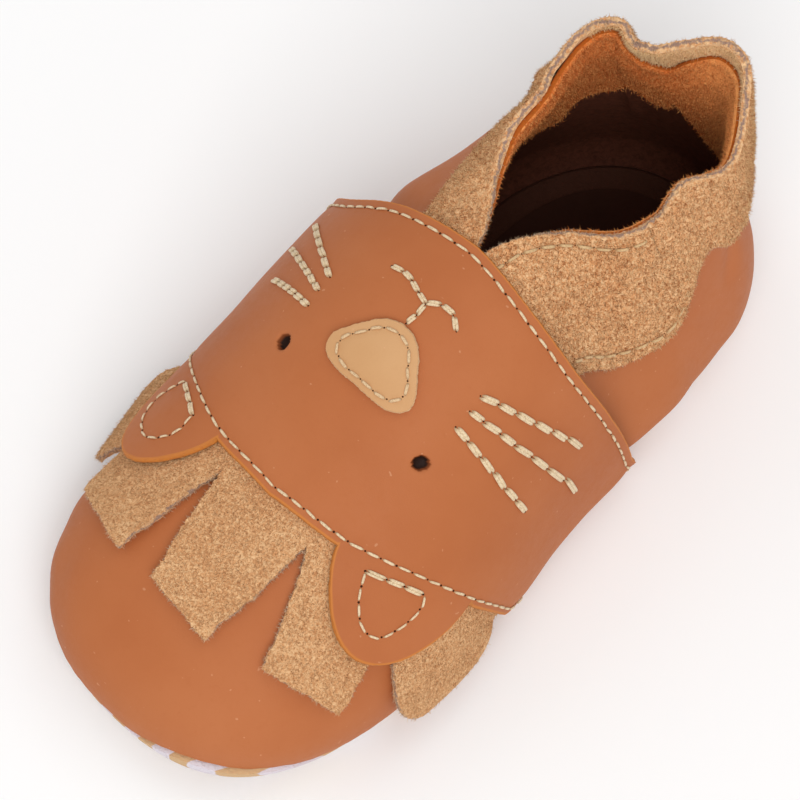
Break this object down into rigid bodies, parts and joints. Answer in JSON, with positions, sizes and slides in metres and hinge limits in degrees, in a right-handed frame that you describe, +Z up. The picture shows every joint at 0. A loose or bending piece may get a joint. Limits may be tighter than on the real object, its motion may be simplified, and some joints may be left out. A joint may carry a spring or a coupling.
{
  "type": "baby slipper",
  "caption": "Soft-soled baby slipper in tan leather with a suede ankle cuff, a suede fringe at the toe and a stitched animal face with ears over the instep.",
  "frame": {"origin": "on the floor under the middle of the slipper", "axes": "+Z up, +Y from the toe to the heel, +X towards the wearer's left"},
  "size_m": [0.0629, 0.1228, 0.0614],
  "materials": {
    "sole_suede": "pale suede with tan bands",
    "insole_sock": "rough flesh side",
    "upper_leather": "smooth, satin",
    "cuff_suede": "suede nap",
    "mane_suede": "suede nap",
    "face_leather": "smooth, satin",
    "nose_leather": "smooth, satin"
  },
  "bodies": {
    "root": {"sole": "sole_suede", "insole": "insole_sock", "upper": "upper_leather", "ankle_cuff": "cuff_suede", "mane_fringe": "mane_suede", "face_panel": "face_leather", "nose_patch": "nose_leather"}
  },
  "joints": []
}
